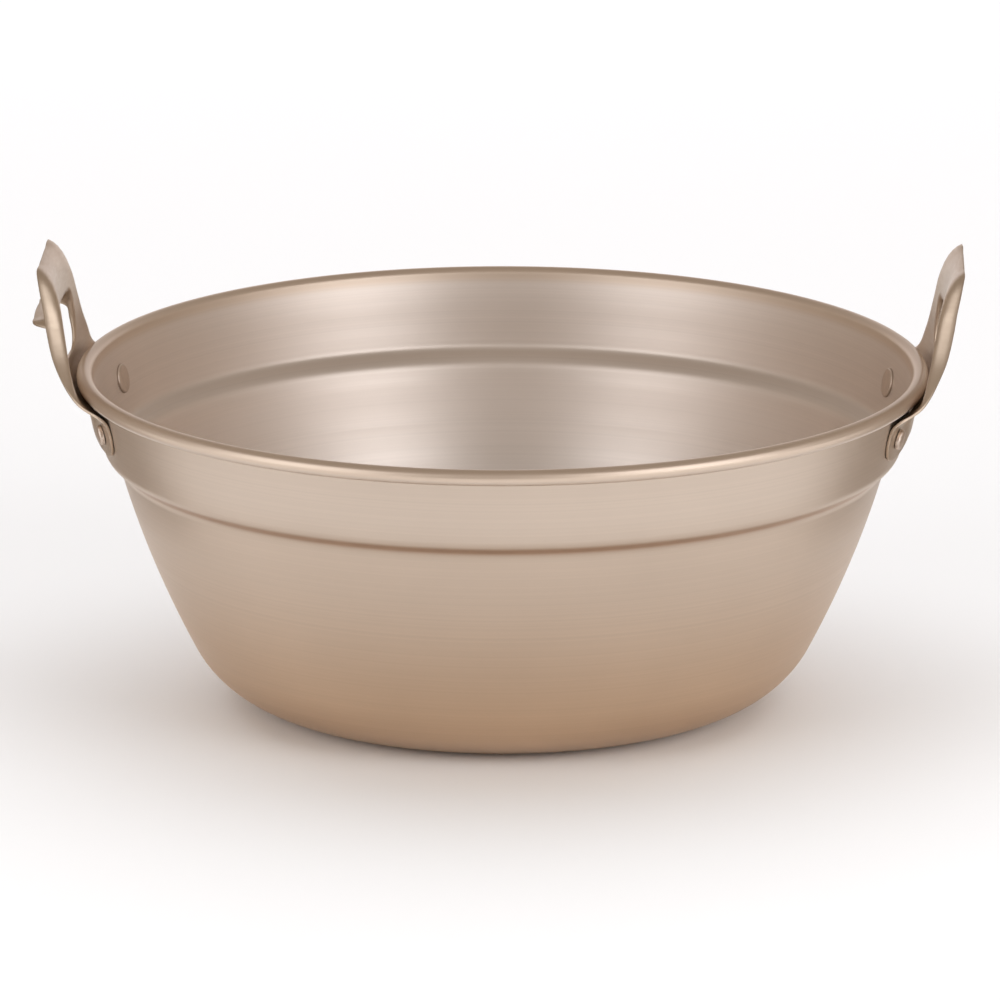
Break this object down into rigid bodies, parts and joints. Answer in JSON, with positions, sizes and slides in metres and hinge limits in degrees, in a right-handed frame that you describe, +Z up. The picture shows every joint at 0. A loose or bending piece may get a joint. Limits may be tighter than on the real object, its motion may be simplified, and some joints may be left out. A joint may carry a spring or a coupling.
{
  "type": "stepped boiling pot",
  "caption": "Open stepped boiling pot of pressed aluminium with a rolled rim and riveted upright sheet handles.",
  "frame": {"origin": "centre of the flat base", "axes": "+Z up through the open mouth, handles at +X and -X, front at -Y"},
  "size_m": [0.4072, 0.3738, 0.1975],
  "materials": {
    "anodised_aluminium": "soft champagne anodised, fine spun lines",
    "anodised_aluminium_handle": "soft champagne anodised, fine grain",
    "aluminium_rivet": "satin, peened outside"
  },
  "bodies": {
    "root": {"pot_body": "anodised_aluminium", "handle_left": "anodised_aluminium_handle", "handle_right": "anodised_aluminium_handle", "rivet_left_front": "aluminium_rivet", "rivet_left_back": "aluminium_rivet", "rivet_right_front": "aluminium_rivet", "rivet_right_back": "aluminium_rivet"}
  },
  "joints": []
}
